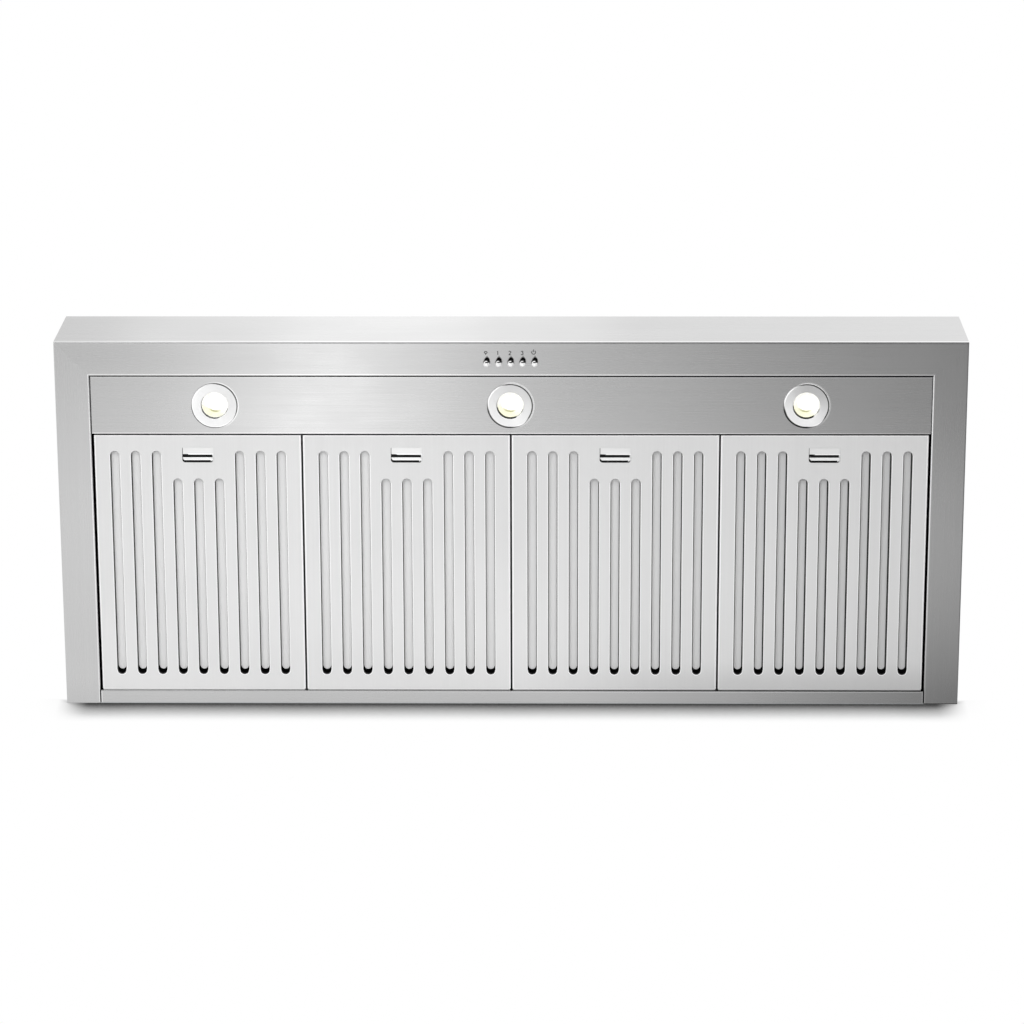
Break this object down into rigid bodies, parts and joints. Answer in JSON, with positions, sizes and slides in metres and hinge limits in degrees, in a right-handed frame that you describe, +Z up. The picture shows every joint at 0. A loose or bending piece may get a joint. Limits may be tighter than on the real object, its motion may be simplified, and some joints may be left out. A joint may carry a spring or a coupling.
{
  "type": "pyramid range hood",
  "caption": "Wide wall-mounted pyramid range hood in brushed steel with hinged baffle filters, downlights, push buttons, an internal blower and a round duct collar.",
  "frame": {"origin": "on the wall plane, at the middle of the hood, level with its underside", "axes": "+X to the right seen from the front, +Y into the wall (the front faces -Y), +Z up"},
  "size_m": [1.2192, 0.51, 0.5157],
  "materials": {
    "stainless": "brushed along the width, grain left to right",
    "filter_stainless": "satin, fine grain front to back",
    "baffle_stainless": "satin mill finish",
    "latch_stainless": "satin, bright on the bent edge",
    "galvanised": "galvanised, faint spangle",
    "button_chrome": "polished",
    "trim_satin": "satin silver lacquer",
    "lens_glass": "warm-lit lens",
    "lamp_aluminium": "die-cast",
    "fastener": "zinc plated",
    "motor_paint": "black stove enamel",
    "wheel_steel": "black coated steel",
    "damper_aluminium": "mill finish",
    "black_plastic": "moulded",
    "white_plastic": "moulded",
    "lead_rubber": "cable jacket"
  },
  "bodies": {
    "hood": {"front_panel": "stainless", "left_panel": "stainless", "right_panel": "stainless", "back_panel": "galvanised", "top_plate": "galvanised", "rear_rail": "stainless", "light_panel": "stainless", "light_panel_screws": "fastener", "light_1_trim": "trim_satin", "light_1_lens": "lens_glass", "light_1_body": "lamp_aluminium", "light_2_trim": "trim_satin", "light_2_lens": "lens_glass", "light_2_body": "lamp_aluminium", "light_3_trim": "trim_satin", "light_3_lens": "lens_glass", "light_3_body": "lamp_aluminium", "switch_block": "black_plastic", "blower_housing": "galvanised", "inlet_ring_left": "galvanised", "inlet_ring_right": "galvanised", "motor_bracket": "galvanised", "motor": "motor_paint", "blower_bolts": "fastener", "duct_collar": "galvanised", "damper_axles": "fastener", "junction_box": "galvanised", "junction_box_cover": "galvanised", "cable_gland": "black_plastic", "led_driver": "white_plastic", "light_leads": "lead_rubber", "motor_lead": "lead_rubber", "switch_lead": "lead_rubber", "panel_rivets": "fastener"},
    "button_1": {"button_1": "button_chrome"},
    "button_2": {"button_2": "button_chrome"},
    "button_3": {"button_3": "button_chrome"},
    "button_4": {"button_4": "button_chrome"},
    "button_5": {"button_5": "button_chrome"},
    "filter_1": {"filter_1_frame": "filter_stainless", "filter_1_baffles": "baffle_stainless", "filter_1_latch_guide": "baffle_stainless"},
    "latch_1": {"filter_1_latch": "latch_stainless"},
    "filter_2": {"filter_2_frame": "filter_stainless", "filter_2_baffles": "baffle_stainless", "filter_2_latch_guide": "baffle_stainless"},
    "latch_2": {"filter_2_latch": "latch_stainless"},
    "filter_3": {"filter_3_frame": "filter_stainless", "filter_3_baffles": "baffle_stainless", "filter_3_latch_guide": "baffle_stainless"},
    "latch_3": {"filter_3_latch": "latch_stainless"},
    "filter_4": {"filter_4_frame": "filter_stainless", "filter_4_baffles": "baffle_stainless", "filter_4_latch_guide": "baffle_stainless"},
    "latch_4": {"filter_4_latch": "latch_stainless"},
    "impeller": {"impeller": "wheel_steel", "motor_shaft": "fastener"},
    "damper_front": {"damper_flap_front": "damper_aluminium"},
    "damper_rear": {"damper_flap_rear": "damper_aluminium"}
  },
  "joints": [
    {"name": "button_1_press", "type": "slide", "parent": "hood", "child": "button_1", "axis": [0, 0, 1], "range_m": [0, 0.003], "stiffness_N_per_m": 400},
    {"name": "button_2_press", "type": "slide", "parent": "hood", "child": "button_2", "axis": [0, 0, 1], "range_m": [0, 0.003], "stiffness_N_per_m": 400},
    {"name": "button_3_press", "type": "slide", "parent": "hood", "child": "button_3", "axis": [0, 0, 1], "range_m": [0, 0.003], "stiffness_N_per_m": 400},
    {"name": "button_4_press", "type": "slide", "parent": "hood", "child": "button_4", "axis": [0, 0, 1], "range_m": [0, 0.003], "stiffness_N_per_m": 400},
    {"name": "button_5_press", "type": "slide", "parent": "hood", "child": "button_5", "axis": [0, 0, 1], "range_m": [0, 0.003], "stiffness_N_per_m": 400},
    {"name": "filter_1_hinge", "type": "hinge", "parent": "hood", "child": "filter_1", "pos_m": [-0.42083, -0.0173, 0.0012], "axis": [1, 0, 0], "range_deg": [0, 60]},
    {"name": "latch_1_slide", "type": "slide", "parent": "filter_1", "child": "latch_1", "axis": [0, -1, 0], "range_m": [0, 0.005]},
    {"name": "filter_2_hinge", "type": "hinge", "parent": "hood", "child": "filter_2", "pos_m": [-0.14028, -0.0173, 0.0012], "axis": [1, 0, 0], "range_deg": [0, 60]},
    {"name": "latch_2_slide", "type": "slide", "parent": "filter_2", "child": "latch_2", "axis": [0, -1, 0], "range_m": [0, 0.005]},
    {"name": "filter_3_hinge", "type": "hinge", "parent": "hood", "child": "filter_3", "pos_m": [0.14028, -0.0173, 0.0012], "axis": [1, 0, 0], "range_deg": [0, 60]},
    {"name": "latch_3_slide", "type": "slide", "parent": "filter_3", "child": "latch_3", "axis": [0, -1, 0], "range_m": [0, 0.005]},
    {"name": "filter_4_hinge", "type": "hinge", "parent": "hood", "child": "filter_4", "pos_m": [0.42083, -0.0173, 0.0012], "axis": [1, 0, 0], "range_deg": [0, 60]},
    {"name": "latch_4_slide", "type": "slide", "parent": "filter_4", "child": "latch_4", "axis": [0, -1, 0], "range_m": [0, 0.005]},
    {"name": "impeller_spin", "type": "hinge", "parent": "hood", "child": "impeller", "pos_m": [0, -0.215, 0.245], "axis": [1, 0, 0], "continuous": true},
    {"name": "damper_front_swing", "type": "hinge", "parent": "hood", "child": "damper_front", "pos_m": [0, -0.155, 0.4732], "axis": [-1, 0, 0], "range_deg": [0, 80]},
    {"name": "damper_rear_swing", "type": "hinge", "parent": "hood", "child": "damper_rear", "pos_m": [0, -0.145, 0.4732], "axis": [1, 0, 0], "range_deg": [0, 80]}
  ]
}
